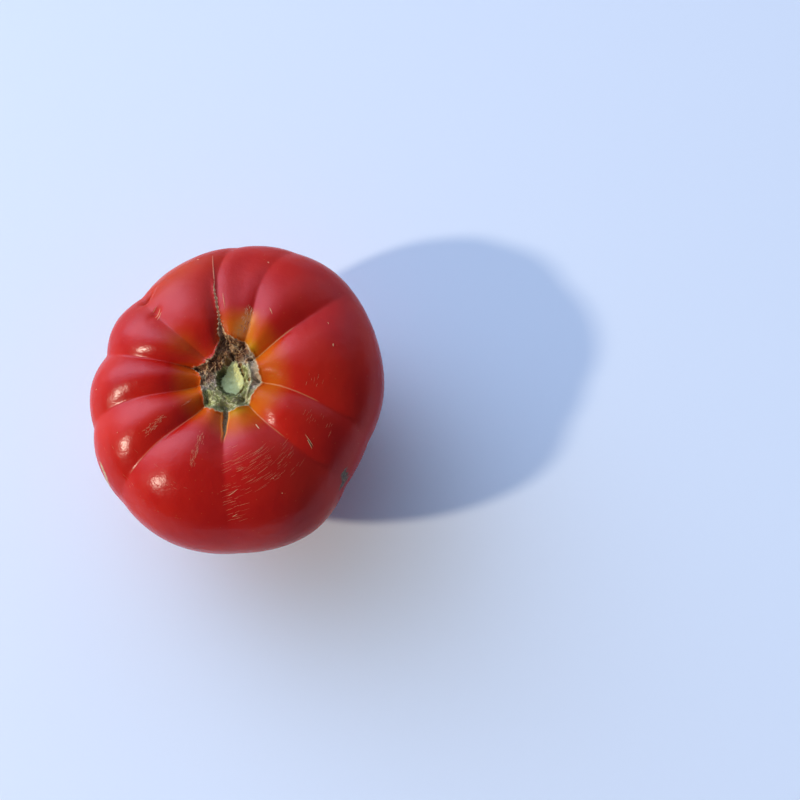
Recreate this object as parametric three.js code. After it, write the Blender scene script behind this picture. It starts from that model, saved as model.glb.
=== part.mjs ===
// Oxheart tomato: one large ribbed fruit as it was picked, standing on its blossom end.
//
// Millimetres, +Z up. The origin is on the table under the middle of the fruit's box.
// The skin is one formula. A meridian runs from the stem, over the shoulder and round to the blossom end,
// and its angle phi goes from 0 to 180 degrees, with 90 at the widest girth. The azimuth theta goes
// counter-clockwise from +X about the stem's axis. Ten furrows part the lobes, and the columns of the mesh
// follow them, so that the bottom of each furrow stays a clean line.

import * as THREE from 'three';

// ---- the meridian -----------------------------------------------------------------------------------------

const GIRTH_HEIGHT = 43;        // height of the widest girth above the table
const CROWN_RISE = 29;          // from the girth up to the shoulders, before the stem's hollow is sunk
const CROWN_POWER = 2.5;        // superellipse power of the upper half: broad shoulders
const FOOT_POWER = 1.75;        // and of the underside: it tapers bluntly
const FOOT_OVERRUN = 1.6;       // how far the underside would bulge below the table: this is the flat spot
const STEM_AXIS = { x: -2.05, y: 2.97 };   // the stem stands off the middle of the fruit

// The hollow that the stem grew from.
const HOLLOW_DEPTH = 7.5;
const HOLLOW_SPREAD = 0.33;     // where it is half as deep, as a share of the way from the axis to the girth
const HOLLOW_POWER = 4.2;       // how steep its wall is
const HOLLOW_SKEW = { x: -0.03, y: -0.11 };   // it spreads wider towards -Y, by this share
const CROWN_TILT = { x: -0.04, y: -0.09 };    // the crown hangs a little that way, in mm for each mm out

// The scar has slipped across the crown by this much; the slip fades at this share of the way to the girth.
const SCAR_SHIFT = { x: 0.6, y: -0.9, spread: 0.4 };

// The dimple where the flower was, in the middle of the underside.
const BLOSSOM_DEPTH = 0.8;
const BLOSSOM_RADIUS = 5;

// ---- the furrows ------------------------------------------------------------------------------------------

// Meridian angles at which each furrow's azimuth and depth are given: at the stem scar, on the shoulder
// and at the side. Every furrow fades out on the underside, at UNDERSIDE, and beside the core, at STUMP.
const STUMP = 3;
const SCAR = 8;
const SHOULDER = 33;
const SIDE = 80;
const UNDERSIDE = 150;

// azimuth, depth: at the three stations, in degrees and mm. width: its measure across, in degrees.
// sharp: the share of its depth that is a narrow V; the rest is a wide dip. tip: how far the stem scar
// reaches into it. sag: the share by which the toe of the next lobe pushes the scar's edge in.
// reach: from the stem's axis to the crest of the next lobe.
const FURROWS = [
  {azimuth: [31, 35, 38], depth: [3.4, 3, 0.2], width: 7.5, sharp: 0.42, tip: 11, sag: 0.02, reach: 53.6},
  {azimuth: [63, 71, 66], depth: [3.4, 2.4, 1], width: 7.5, sharp: 0.34, tip: 12.5, sag: 0.06, reach: 52.6},
  {azimuth: [97, 98, 89], depth: [3.6, 2.6, 1.1], width: 6, sharp: 0.45, tip: 14.6, sag: 0.18, reach: 47.5},
  {azimuth: [143, 141, 136], depth: [0.9, 2.5, 2], width: 7.5, sharp: 0.3, tip: 7.5, sag: 0.1, reach: 46.5},
  {azimuth: [171, 171, 168], depth: [3.3, 3.8, 2.8], width: 7, sharp: 0.45, tip: 11.3, sag: 0.18, reach: 48.5},
  {azimuth: [205, 199, 200], depth: [3.2, 4.2, 2.4], width: 8.5, sharp: 0.42, tip: 9.2, sag: 0.08, reach: 52.4},
  {azimuth: [240, 231, 230], depth: [4, 3.8, 1.2], width: 8.5, sharp: 0.46, tip: 13.2, sag: 0, reach: 56.6},
  {azimuth: [272, 274, 274], depth: [3.9, 1.7, 1], width: 8.5, sharp: 0.34, tip: 13.8, sag: 0, reach: 57.4},
  {azimuth: [306, 313, 319], depth: [4.2, 3.5, 2.4], width: 9, sharp: 0.42, tip: 12.9, sag: 0, reach: 52},
  {azimuth: [347, 342, 338], depth: [3.8, 3.6, 1.6], width: 8, sharp: 0.46, tip: 12.4, sag: 0.02, reach: 51.8},
];
// A soft fold beside a furrow, which does not part two lobes.
const FOLDS = [
  {azimuth: [80, 84, 80], depth: [0.4, 1.5, 0.4], width: 5, sharp: 0},
];
const CREASE = 0.6;             // width of the narrow V, in the furrow's widths
const WIDE_DIP = 1.75;          // width of the wide dip, in the same
const SWELL = 0.3;              // slow unevenness of the skin

// A corky seam closes the furrow at azimuth 98 and runs straight on where the furrow turns away.
const SEAM = { azimuth: [97, 99, 99], from: 8, to: 50, fade: 5, height: 0.5, halfWidth: 0.9 };

// ---- the stem scar ----------------------------------------------------------------------------------------

const FLOOR_SINK = 0.9;         // the corky floor lies this far below the lobes' toes
const FLOOR_RIM = [0.86, 0.99]; // where it has come up again, in shares of the way to the scar's edge
const SCAR_LEVEL = 0.45;        // the cork half fills the furrows: the share of their depth left in the scar
const LEVEL_RIM = [0.7, 1];     // where the furrows have their full depth again, in the same shares
const LIP = { height: 0.4, halfWidth: 0.6 };       // dry lip along the edge of the scar
// The core is where the stalk broke away: round, with a tail that points away from +X by tailAzimuth.
// It is the bottom of a cup, whose wall rises from its edge out to cupRim, in shares of its radius.
// The cup gets shallower, by the share cupTilt, between the two places of cupSlope along Y.
const CORE = {
  x: 1.8, y: -2.4, radius: 3.8, tail: 3.6, tailAzimuth: 86, tailWidth: 22,
  cupDepth: 3.5, cupRim: 1.5, cupTilt: 0.5, cupSlope: [-1, 5],
};

// ---- the mesh ---------------------------------------------------------------------------------------------

const COLUMNS = 11;             // in each lobe
const CROWDING = 0.08;          // the columns crowd towards the furrows
const SCAR_ROWS = 9;
const BELTS = [                 // rows from the scar's edge on, down to each meridian angle
  { to: 22, rows: 9 },
  { to: 92, rows: 15 },
  { to: 164, rows: 12 },
  { to: 180, rows: 6 },
];

const RAD = Math.PI / 180;
const lobes = FURROWS.length;

function clamp(value, low, high) {
  return Math.min(Math.max(value, low), high);
}

// Degrees brought into -180..180.
function turn(degrees) {
  return ((degrees + 180) % 360 + 360) % 360 - 180;
}

// 0 below a, 1 above b, and a smooth rise between.
function rise(a, b, value) {
  const t = clamp((value - a) / (b - a), 0, 1);
  return t * t * (3 - 2 * t);
}

function bell(offset, halfWidth) {
  return Math.exp(-((offset / halfWidth) ** 2));
}

// A smooth curve through the points (xs, ys). It stays at the end values beyond them.
function through(x, xs, ys) {
  const last = xs.length - 1;
  const slope = (i) => {
    const a = Math.max(i - 1, 0);
    const b = Math.min(i + 1, last);
    return (ys[b] - ys[a]) / (xs[b] - xs[a]);
  };
  const at = clamp(x, xs[0], xs[last]);
  let k = 0;
  while (k < last - 1 && at >= xs[k + 1]) k += 1;
  const step = xs[k + 1] - xs[k];
  const s = (at - xs[k]) / step;
  const back = 1 - s;
  return (1 + 2 * s) * back * back * ys[k] + s * back * back * step * slope(k)
    + s * s * (3 - 2 * s) * ys[k + 1] - s * s * back * step * slope(k + 1);
}

function furrowAzimuth(furrow, phi) {
  return through(phi, [SCAR, SHOULDER, SIDE], furrow.azimuth);
}

function furrowDepth(furrow, phi) {
  return rise(STUMP, SCAR, phi) * through(phi, [SCAR, SHOULDER, SIDE, UNDERSIDE], [...furrow.depth, 0]);
}

// The crests stand midway between the furrows. They are repeated a turn on either side to close the girth.
const crests = [];
for (let i = -2; i < lobes + 2; i += 1) {
  const lobe = (i + lobes) % lobes;
  const next = (lobe + 1) % lobes;
  const here = FURROWS[lobe].azimuth[2];
  const there = FURROWS[next].azimuth[2] + (next === 0 ? 360 : 0);
  crests.push({ azimuth: (here + there) / 2 + 360 * Math.floor(i / lobes), reach: FURROWS[lobe].reach });
}

// From the stem's axis to the girth.
function girth(theta) {
  const first = crests[1].azimuth;
  const around = first + ((theta - first) % 360 + 360) % 360;
  return through(around, crests.map((c) => c.azimuth), crests.map((c) => c.reach));
}

// Radius of the star-shaped scar: straight from tip to tip, but pushed in by the lobes' toes.
function scarEdge(theta) {
  for (let i = 0; i < lobes; i += 1) {
    const a = FURROWS[i];
    const b = FURROWS[(i + 1) % lobes];
    const span = (b.azimuth[0] - a.azimuth[0] + 360) % 360;
    const past = ((theta - a.azimuth[0]) % 360 + 360) % 360;
    if (past < span) {
      const chord = (a.tip * b.tip * Math.sin(span * RAD))
        / (a.tip * Math.sin(past * RAD) + b.tip * Math.sin((span - past) * RAD));
      const share = past / span;
      return chord * (1 - a.sag * 4 * share * (1 - share));
    }
  }
  return FURROWS[0].tip;
}

// The meridian without the hollow, as its share of the way to the girth and its height.
function meridian(phi) {
  const s = clamp(Math.sin(phi * RAD), 0, 1);
  const c = Math.abs(Math.cos(phi * RAD));
  if (phi <= 90) {
    return { share: s ** (2 / CROWN_POWER), z: GIRTH_HEIGHT + CROWN_RISE * c ** (2 / CROWN_POWER) };
  }
  const z = GIRTH_HEIGHT - (GIRTH_HEIGHT + FOOT_OVERRUN) * c ** (2 / FOOT_POWER);
  return { share: s ** (2 / FOOT_POWER), z };
}

// The meridian angle that lies a given share of the way from the axis to the scar's edge.
function angleInScar(theta, share) {
  return Math.asin((share * scarEdge(theta) / girth(theta)) ** (CROWN_POWER / 2)) / RAD;
}

function hollow(share, theta) {
  const skew = HOLLOW_SKEW.x * Math.cos(theta * RAD) + HOLLOW_SKEW.y * Math.sin(theta * RAD);
  return HOLLOW_DEPTH / (1 + (share / (HOLLOW_SPREAD * (1 + skew))) ** HOLLOW_POWER);
}

// How far the tilt of the crown lifts the skin.
function crownTilt(phi, theta, out) {
  const slope = CROWN_TILT.x * Math.cos(theta * RAD) + CROWN_TILT.y * Math.sin(theta * RAD);
  return slope * out * Math.cos(phi * RAD);
}

// Height of the corky floor, the lip and the core's cup over the hollow.
function scarRelief(radius, theta) {
  const edge = scarEdge(theta);
  const x = radius * Math.cos(theta * RAD) - CORE.x;
  const y = radius * Math.sin(theta * RAD) - CORE.y;
  const tail = CORE.tail * bell(turn(Math.atan2(y, x) / RAD - CORE.tailAzimuth), CORE.tailWidth);
  const fromCore = Math.hypot(x, y) / (CORE.radius + tail);
  const cupDepth = CORE.cupDepth * (1 - CORE.cupTilt * rise(...CORE.cupSlope, y + CORE.y));
  return FLOOR_SINK * (rise(...FLOOR_RIM, radius / edge) - 1)
    + LIP.height * bell(radius - edge, LIP.halfWidth)
    - cupDepth * (1 - rise(1, CORE.cupRim, fromCore));
}

// How far the furrows and the slow swell move the skin along the meridian's normal.
function furrowRelief(phi, theta) {
  let relief = 0;
  for (const furrow of [...FURROWS, ...FOLDS]) {
    const off = Math.abs(turn(theta - furrowAzimuth(furrow, phi)));
    const sharp = Math.exp((1 - Math.hypot(off, 1)) / (CREASE * furrow.width));
    const wide = bell(off, WIDE_DIP * furrow.width);
    relief -= furrowDepth(furrow, phi) * (furrow.sharp * sharp + (1 - furrow.sharp) * wide);
  }
  const swell = Math.sin((3 * theta + 2 * phi) * RAD) + Math.sin((7 * theta - 3 * phi) * RAD);
  const toEdge = meridian(phi).share * girth(theta) / scarEdge(theta);
  const level = SCAR_LEVEL + (1 - SCAR_LEVEL) * rise(...LEVEL_RIM, toEdge);
  return relief * level + SWELL * swell / 2 * Math.sin(phi * RAD) ** 2;
}

function seamRelief(phi, theta, radius) {
  const across = turn(theta - furrowAzimuth(SEAM, phi)) * RAD * radius;
  const along = rise(SEAM.from, SEAM.from + SEAM.fade, phi) * (1 - rise(SEAM.to - SEAM.fade, SEAM.to, phi));
  return SEAM.height * along * bell(across, SEAM.halfWidth);
}

// One point of the skin.
function skin(phi, theta) {
  const reach = girth(theta);
  const here = meridian(phi);
  const radius = reach * here.share;
  const back = meridian(Math.max(phi - 0.05, 0));
  const ahead = meridian(Math.min(phi + 0.05, 180));
  const normal = new THREE.Vector2(back.z - ahead.z, (ahead.share - back.share) * reach).normalize();
  const relief = furrowRelief(phi, theta) + seamRelief(phi, theta, radius);
  const out = radius + relief * normal.x;
  const upper = phi < 90;
  const sunk = upper ? scarRelief(radius, theta) - hollow(here.share, theta) + crownTilt(phi, theta, out) : 0;
  const dimple = phi > UNDERSIDE ? BLOSSOM_DEPTH * (1 - rise(0, BLOSSOM_RADIUS, out)) : 0;
  const height = Math.max(here.z + sunk + relief * normal.y, 0) + dimple;
  // The blossom end lies under the middle of the fruit, so the underside leans across to it.
  const stemShare = 1 - rise(90, 180, phi);
  const slip = upper ? 1 / (1 + (here.share / SCAR_SHIFT.spread) ** 4) : 0;
  return [
    out * Math.cos(theta * RAD) + STEM_AXIS.x * stemShare + SCAR_SHIFT.x * slip,
    out * Math.sin(theta * RAD) + STEM_AXIS.y * stemShare + SCAR_SHIFT.y * slip,
    height,
  ];
}

// Meridian angles of all the rows on one column, from just off the stem to just off the blossom end.
function rowAngles(theta) {
  const angles = [];
  for (let row = 1; row <= SCAR_ROWS; row += 1) angles.push(angleInScar(theta, row / SCAR_ROWS));
  for (const belt of BELTS) {
    const start = angles[angles.length - 1];
    for (let row = 1; row <= belt.rows; row += 1) {
      angles.push(start + (belt.to - start) * row / belt.rows);
    }
  }
  angles.pop();
  return angles;
}

// The points column by column, with the two poles last.
function fruitGeometry() {
  const positions = [];
  let rows = 0;
  for (let lobe = 0; lobe < lobes; lobe += 1) {
    const here = FURROWS[lobe];
    const next = FURROWS[(lobe + 1) % lobes];
    const wrap = lobe === lobes - 1 ? 360 : 0;
    for (let column = 0; column < COLUMNS; column += 1) {
      const even = column / COLUMNS;
      const share = even - CROWDING * Math.sin(2 * Math.PI * even);
      const between = (phi) => {
        const start = furrowAzimuth(here, phi);
        return start + (furrowAzimuth(next, phi) + wrap - start) * share;
      };
      const angles = rowAngles(between(0));
      rows = angles.length;
      for (const phi of angles) positions.push(...skin(phi, between(phi)));
    }
  }
  const columns = lobes * COLUMNS;
  const stem = columns * rows;
  const blossom = stem + 1;
  positions.push(...skin(0, 0), ...skin(180, 0));

  const faces = [];
  for (let column = 0; column < columns; column += 1) {
    const here = column * rows;
    const next = ((column + 1) % columns) * rows;
    faces.push(stem, here, next);
    for (let row = 0; row < rows - 1; row += 1) {
      faces.push(here + row, here + row + 1, next + row + 1);
      faces.push(here + row, next + row + 1, next + row);
    }
    faces.push(here + rows - 1, blossom, next + rows - 1);
  }
  const geometry = new THREE.BufferGeometry();
  geometry.setAttribute('position', new THREE.Float32BufferAttribute(positions, 3));
  geometry.setIndex(faces);
  geometry.computeVertexNormals();
  return geometry;
}

const skinRed = new THREE.MeshStandardMaterial({ color: 0xa81410, roughness: 0.32, metalness: 0 });

const tomato = new THREE.Mesh(fruitGeometry(), skinRed);
tomato.name = 'tomato';

const fruit = new THREE.Group();
fruit.add(tomato);

export default fruit;
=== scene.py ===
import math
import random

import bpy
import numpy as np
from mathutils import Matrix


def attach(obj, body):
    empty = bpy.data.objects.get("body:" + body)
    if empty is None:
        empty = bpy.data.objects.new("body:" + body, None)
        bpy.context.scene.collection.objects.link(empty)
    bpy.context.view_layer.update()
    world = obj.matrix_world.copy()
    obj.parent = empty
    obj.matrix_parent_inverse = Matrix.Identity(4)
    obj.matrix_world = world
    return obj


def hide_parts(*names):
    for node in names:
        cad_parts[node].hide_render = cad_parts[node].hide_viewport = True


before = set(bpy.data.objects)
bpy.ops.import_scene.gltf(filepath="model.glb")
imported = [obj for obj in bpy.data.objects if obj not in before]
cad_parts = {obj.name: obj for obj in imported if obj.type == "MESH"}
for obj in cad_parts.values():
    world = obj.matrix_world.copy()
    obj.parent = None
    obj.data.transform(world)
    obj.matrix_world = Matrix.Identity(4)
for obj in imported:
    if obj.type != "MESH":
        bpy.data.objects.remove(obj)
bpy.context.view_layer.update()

# An oxheart tomato as it was picked, standing on its blossom end.
#
# The skin is one formula, worked in millimetres. A meridian runs from the stem, over the shoulder and round
# to the blossom end; its angle phi goes from 0 to 180 degrees, with 90 at the widest girth. The azimuth theta
# goes counter-clockwise from +X about the stem's axis, in degrees. The columns of the mesh follow the furrows
# between the lobes.

MM = 0.001

# ---- the meridian, as the solid has it -------------------------------------------------------------------

GIRTH_HEIGHT = 43.0          # height of the widest girth above the table
CROWN_RISE = 29.0            # from the girth up to the shoulders, before the stem's hollow is sunk
CROWN_POWER = 2.5            # superellipse power of the upper half: broad shoulders
FOOT_POWER = 1.75            # and of the underside: it tapers bluntly
FOOT_OVERRUN = 1.6           # how far the underside would bulge below the table: this is the flat spot
STEM_AXIS = (-2.05, 2.97)    # the stem stands off the middle of the fruit

HOLLOW_DEPTH = 7.5           # the hollow that the stem grew from
HOLLOW_SPREAD = 0.33         # where it is half as deep, as a share of the way from the axis to the girth
HOLLOW_POWER = 4.2           # how steep its side is
HOLLOW_SKEW = (-0.03, -0.11) # how much wider it spreads towards +X and +Y: a little less wide
CROWN_TILT = (-0.04, -0.09)  # slope of the crown towards +X and +Y: it falls
SCAR_SHIFT = (0.6, -0.9)     # the scar has slipped this far across the crown
SHIFT_SPREAD = 0.4           # and the slip is halved at this share of the way to the girth

BLOSSOM_DEPTH = 0.8          # the dimple where the flower was
BLOSSOM_RADIUS = 5.0

# ---- the furrows -----------------------------------------------------------------------------------------

# Meridian angles where each furrow's azimuth and depth are given. It fades out at STUMP and at UNDERSIDE.
STUMP = 3.0
SCAR, SHOULDER, SIDE = STATIONS = (8.0, 33.0, 80.0)
UNDERSIDE = 150.0

# azimuth, depth: at the three stations. width: of the furrow, in degrees. sharp: the narrow V's share of
# the depth; the rest is a wide dip. tip: how far the stem scar reaches into the furrow. sag: how far the toe
# of the next lobe pushes the scar's edge in, as a share. reach: from the axis to the next lobe's crest.
FURROWS = [
    dict(azimuth=(31, 35, 38), depth=(3.4, 3.0, 0.2), width=7.5,
         sharp=0.42, tip=11.0, sag=0.02, reach=53.6),
    dict(azimuth=(63, 71, 66), depth=(3.4, 2.4, 1.0), width=7.5,
         sharp=0.34, tip=12.5, sag=0.06, reach=52.6),
    dict(azimuth=(97, 98, 89), depth=(3.6, 2.6, 1.1), width=6,
         sharp=0.45, tip=14.6, sag=0.18, reach=47.5),
    dict(azimuth=(143, 141, 136), depth=(0.9, 2.5, 2.0), width=7.5,
         sharp=0.3, tip=7.5, sag=0.10, reach=46.5),
    dict(azimuth=(171, 171, 168), depth=(3.3, 3.8, 2.8), width=7,
         sharp=0.45, tip=11.3, sag=0.18, reach=48.5),
    dict(azimuth=(205, 199, 200), depth=(3.2, 4.2, 2.4), width=8.5,
         sharp=0.42, tip=9.2, sag=0.08, reach=52.4),
    dict(azimuth=(240, 231, 230), depth=(4.0, 3.8, 1.2), width=8.5,
         sharp=0.46, tip=13.2, sag=0.0, reach=56.6),
    dict(azimuth=(272, 274, 274), depth=(3.9, 1.7, 1.0), width=8.5,
         sharp=0.34, tip=13.8, sag=0.0, reach=57.4),
    dict(azimuth=(306, 313, 319), depth=(4.2, 3.5, 2.4), width=9,
         sharp=0.42, tip=12.9, sag=0.0, reach=52.0),
    dict(azimuth=(347, 342, 338), depth=(3.8, 3.6, 1.6), width=8,
         sharp=0.46, tip=12.4, sag=0.02, reach=51.8),
]
# A soft fold beside a furrow, which the scar and the mesh know nothing of.
FOLDS = [
    dict(azimuth=(80, 84, 80), depth=(0.4, 1.5, 0.4), width=5, sharp=0.0),
]
SEAM_LINE = dict(azimuth=(97, 99, 99))   # the brown corky seam, in one furrow until the furrow turns away
SLIT_FURROW = FURROWS[7]     # cut by the open grey slit
CREASE, WIDE_DIP = 0.6, 1.75     # how wide the V and the dip are, in the furrow's widths
SWELL = 0.3                  # slow unevenness of the skin

# ---- the stem scar ---------------------------------------------------------------------------------------

# Places in it are in mm from the stem's axis.
FLOOR_SINK = 0.9             # the corky floor lies this far below the lobes' toes
FLOOR_RIM = (0.86, 0.99)     # and rises to them here, in shares of the way to the scar's edge
SCAR_LEVEL = 0.45            # the cork half fills the furrows: this share of their depth is left in the scar
LEVEL_RIM = (0.7, 1.0)       # and it comes back to the full depth here, in the same shares
LIP_HEIGHT, LIP_HALF_WIDTH = 0.4, 0.6    # the skin's raised edge round the scar
DRY_LIP_HALF_WIDTH = 0.36    # the part of it that is dry
CORE_AT = (1.8, -2.4)        # where the stalk broke away: round, with a tail
CORE_RADIUS = 3.8
TAIL_LENGTH, TAIL_AZIMUTH, TAIL_WIDTH = 3.6, 86.0, 22.0
CUP_DEPTH = 3.5              # the core is the bottom of a cup, whose wall goes from its edge out to CUP_RIM,
CUP_RIM, CUP_SKEW = 1.50, 0.22   # in shares of the core's radius, wider towards +X
CUP_TILT = 0.5               # the cup is shallower towards +Y, by this share
CUP_SLOPE = (-1, 5)          # between these places along Y
WALL_FADE = (-0.12, 0.10)    # the wall's finish ends this far round the cup's rim, in the core's radius
BROWN_WAY = (-0.55, 0.83)    # the cork is brown this way from the axis, and grey-green the other way
BROWN_FADE = (-2.0, 4.5)     # with a slow change between
SMOOTH_BAND = ((6.8, 8.2), (-5.0, -3.0))     # a smooth grey-tan band lies beyond these places along X and Y
KNOB_AT, KNOB_RADIUS = (7.6, 4.8), 1.25      # a ring of cork round a small pit, at the tip of one furrow
BROWN_HOLLOWS = ((0.3, 4.1, 1.25), (4.3, 3.3, 0.85), (7.5, -1.8, 0.7))   # place and radius
PLATE_AT, PLATE_RADIUS = (-1.2, 6.3), 1.7    # a flat flake of brown cork
# Lines on the scar, from place to place: a deep crevice, a stretch of tan cork, a crack with golden sides,
# and a pale ridge inside the right edge. Each has its half width.
CREVICE, CREVICE_HALF_WIDTH = ((-0.3, 14.0), (0.6, 8.5), (1.9, 5.4)), 0.42
TAN_WEDGE, TAN_HALF_WIDTH = ((2.2, 5.4), (1.4, 8.4), (3.0, 9.5)), 1.5
GOLD_CRACK, GOLD_HALF_WIDTH = ((4.7, 2.0), (5.6, -1.6), (4.9, -5.3), (3.3, -7.0)), 0.38
INNER_RIDGE, INNER_HALF_WIDTH = ((7.0, 3.2), (8.6, -2.4), (7.8, -5.0), (6.6, -9.6)), 0.36

# A golden corky line in each furrow: from and to which meridian angle, and how strong. The seventh runs far
# out along its crease. Near the scar it is corky; further out it is a painted highlight on the crease's lit
# edge.
FURROW_LINE_HALF_WIDTH = 0.28
FURROW_LINES = ((7, 30, 0.8), (7, 16, 0.3), (7, 12, 0.0), (8, 12, 0.0), (7, 24, 0.3),
                (6, 18, 0.4), (7, 58, 0.45), (8, 12, 0.0), (7, 34, 0.6), (8, 40, 0.65))

SEAM_FROM, SEAM_TO, SEAM_FADE = 8.0, 42.0, 10.0      # meridian angles: it fades out over the last ten
SEAM_HEIGHT, SEAM_SWELL = 0.5, 0.9   # how far the skin swells up under it, and over which half width
SEAM_HALF_WIDTH = 0.30
ROOT_HALF_WIDTH = 1.0        # it is wider by this beside the scar
SEAM_ROOT = (13.0, 18.5)     # and that fades out here, in mm from the axis
SEAM_THIN = 16.0             # over this many degrees before its end it thins to half
STITCH = 1.5                 # from bead to bead along the seam
BEAD_HALF_WIDTH = 0.24       # how far a bead stands out to each side
CRUMB_HEIGHT = 0.25

SLIT_FROM, SLIT_TO = 13.6, 25.5      # in mm from the axis
SLIT_DEPTH, SLIT_HALF_WIDTH = 0.9, 0.85
SLIT_TAPER = 11.0            # over this length its end narrows to SLIT_END of the width
SLIT_END = 0.30
BANK_HEIGHT, BANK_HALF_WIDTH = 0.15, 0.22    # the raised pale edge of the slit
BANK_AT = 1.35               # how far out it lies, in the slit's half widths

# ---- the skin's colours and blemishes --------------------------------------------------------------------

# How amber the skin is round the scar: azimuths, and the share at each. It fades out between two places past
# the scar's edge in mm: each is given for no amber, with what full amber adds to it.
AMBER = ((0, 22, 45, 64, 85, 97, 110, 160, 178, 205, 225, 245, 262, 275, 300, 325, 345, 360),
         (1.0, 1.0, 1.0, 1.0, 0.85, 0.6, 0.2, 0.2, 0.6, 0.85, 0.75, 0.6, 0.65, 0.95, 1.0, 1.0, 1.0, 1.0))
AMBER_FADE = ((0.5, 2.5), (4.0, 9.0))
# Two amber flushes apart from that, with their half widths. The one on the shoulder is placed by its meridian
# angle, and the other by how far past the scar's edge it lies, in mm.
SHOULDER_FLUSH = dict(azimuth=118, half_azimuth=20, phi=58, half_phi=16, share=0.30)
TOE_FLUSH = dict(azimuth=147, half_azimuth=13, past=8, half_past=6, share=0.50)
GILT = ((287, 15), (47, 13))     # azimuths, and half widths, where the scar's border is golden
GILT_FADE = (0.8, 4.2)       # past the scar's edge, in mm
# A stretch of the scar's border along one azimuth: straw-coloured skin, with a streak of barky bits on it.
# They start and end between these places past the scar's edge, and lie so far beside that azimuth, in mm.
BORDER_AZIMUTH = 69
BORDER_BANDS = dict(straw=dict(starts=(0.5, 2.0), ends=(7.0, 12.0), beside=0.0, half_width=2.1),
                    streak=dict(starts=(0.3, 1.5), ends=(5.0, 9.0), beside=1.2, half_width=1.3))
DENT = dict(phi=56.5, azimuth=136.4, radius=2.9, depth=1.7, pit=1.25, pit_depth=1.0)     # with a pit in it
GROOVE = dict(phi=38.5, azimuth=139.5, radius=2.4, depth=0.9)
# Corky scars near the girth, the yellow one and the dark one, from (meridian angle, azimuth) to the next.
EDGE_SCARS = (((72, 217.2), (76, 221.2), (93, 221.8)), ((77, 321.2), (85.5, 320.4), (83.8, 316.8)))

# ---- the mesh --------------------------------------------------------------------------------------------

COLUMNS = 32                 # in each lobe
CROWDING = 0.08              # the columns crowd towards the furrows
SCAR_ROWS = 62
BELTS = ((20, 60), (50, 70), (92, 60), (166, 40), (180, 12))   # down to this meridian angle, in so many rows
PER_PHI = 0.95               # mm along the meridian for one degree, on the shoulder
CROWN = 60                   # the scar and its border lie within this meridian angle
SLOPE_STEP = 0.05            # degrees each way, for the slope of the meridian
NORMAL_STEP = 0.2            # degrees, for the normal of the finished skin


def turn(degrees):
    """Degrees brought into -180..180."""
    return (degrees + 180) % 360 - 180


def rise(a, b, value):
    """0 below a, 1 above b, and a smooth rise between."""
    t = np.clip((value - a) / (b - a), 0, 1)
    return t * t * (3 - 2 * t)


def bell(offset, half_width):
    return np.exp(-(offset / half_width) ** 2)


def through(x, xs, ys):
    """A smooth curve through the points (xs, ys). It stays at the end values beyond them."""
    xs = np.asarray(xs, float)
    ys = np.asarray(ys, float)
    slope = np.empty_like(ys)
    slope[1:-1] = (ys[2:] - ys[:-2]) / (xs[2:] - xs[:-2])
    slope[0] = (ys[1] - ys[0]) / (xs[1] - xs[0])
    slope[-1] = (ys[-1] - ys[-2]) / (xs[-1] - xs[-2])
    x = np.clip(x, xs[0], xs[-1])
    k = np.clip(np.searchsorted(xs, x, side="right") - 1, 0, len(xs) - 2)
    step = xs[k + 1] - xs[k]
    s = (x - xs[k]) / step
    back = 1 - s
    return ((1 + 2 * s) * back ** 2 * ys[k] + s * back ** 2 * step * slope[k]
            + s * s * (3 - 2 * s) * ys[k + 1] - s * s * back * step * slope[k + 1])


# ---- noise that is the same on each run ------------------------------------------------------------------

def drawn(ix, iy, seed):
    """A number from 0 to 1 for each pair of whole numbers."""
    low_bits = 0xFFFFFFFF
    h = (ix.astype(np.int64) * 374761393 + iy.astype(np.int64) * 668265263 + seed * 1274126177) & low_bits
    h = ((h ^ (h >> 13)) * 1103515245) & low_bits
    return ((h ^ (h >> 16)) & 0xFFFFFF) / 0xFFFFFF


def grain(x, y, size, seed):
    """Smooth noise from -1 to 1 with hills about size across."""
    u, v = x / size, y / size
    iu, iv = np.floor(u), np.floor(v)
    fu, fv = u - iu, v - iv
    fu, fv = fu * fu * (3 - 2 * fu), fv * fv * (3 - 2 * fv)
    low = drawn(iu, iv, seed) * (1 - fu) + drawn(iu + 1, iv, seed) * fu
    high = drawn(iu, iv + 1, seed) * (1 - fu) + drawn(iu + 1, iv + 1, seed) * fu
    return 2 * (low * (1 - fv) + high * fv) - 1


# ---- the skin as a formula -------------------------------------------------------------------------------

def furrow_azimuth(furrow, phi):
    return through(phi, STATIONS, furrow["azimuth"])


def furrow_depth(furrow, phi):
    return rise(STUMP, SCAR, phi) * through(phi, STATIONS + (UNDERSIDE,), furrow["depth"] + (0,))


def girth(theta):
    """From the stem's axis to the girth. The crests stand midway between the furrows."""
    side = [f["azimuth"][2] for f in FURROWS]
    side.append(side[0] + 360)
    crest = [(a + b) / 2 for a, b in zip(side, side[1:])]
    reach = [f["reach"] for f in FURROWS]
    at = [c - 360 for c in crest[-2:]] + crest + [c + 360 for c in crest[:2]]
    return through((theta - at[1]) % 360 + at[1], at, reach[-2:] + reach + reach[:2])


def scar_edge(theta):
    """Radius of the star-shaped scar: straight from tip to tip, but pushed in by the lobes' toes."""
    edge = np.zeros_like(theta)
    for here, after in zip(FURROWS, FURROWS[1:] + FURROWS[:1]):
        span = (after["azimuth"][0] - here["azimuth"][0]) % 360
        past = (theta - here["azimuth"][0]) % 360
        inside = past < span
        past = np.minimum(past, span)
        chord = here["tip"] * after["tip"] * math.sin(math.radians(span)) / (
            here["tip"] * np.sin(np.radians(past)) + after["tip"] * np.sin(np.radians(span - past)))
        share = past / span
        edge = np.where(inside, chord * (1 - here["sag"] * 4 * share * (1 - share)), edge)
    return edge


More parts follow.
